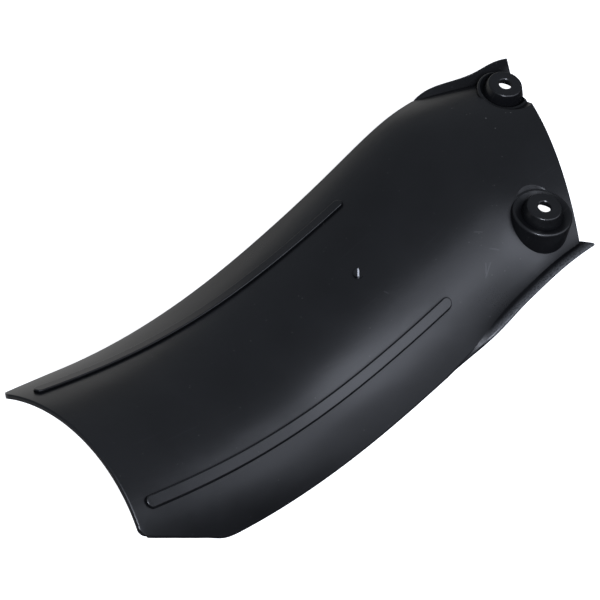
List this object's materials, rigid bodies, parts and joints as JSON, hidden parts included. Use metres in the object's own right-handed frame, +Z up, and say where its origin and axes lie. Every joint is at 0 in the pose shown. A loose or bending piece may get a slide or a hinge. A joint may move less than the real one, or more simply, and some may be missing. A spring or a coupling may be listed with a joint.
{
  "type": "shock mud guard",
  "caption": "Arched, sagging moulded plastic sheet with a turned mounting end, two stepped hollow bolt bosses, side ribs and turned-up lips, keeping mud off a motorbike's rear shock",
  "frame": {"origin": "midway between the two bolt holes, at the height of the boss seats", "axes": "+X from the lower end to the mounting end, +Y towards the side whose boss is nearer the end, +Z up as the guard lies on its side edges; the bolt holes lean 13 degrees from +Z towards +X"},
  "size_m": [0.316, 0.1223, 0.08],
  "materials": {
    "black_plastic": "satin"
  },
  "bodies": {
    "root": {"mud_guard": "black_plastic"}
  },
  "joints": []
}
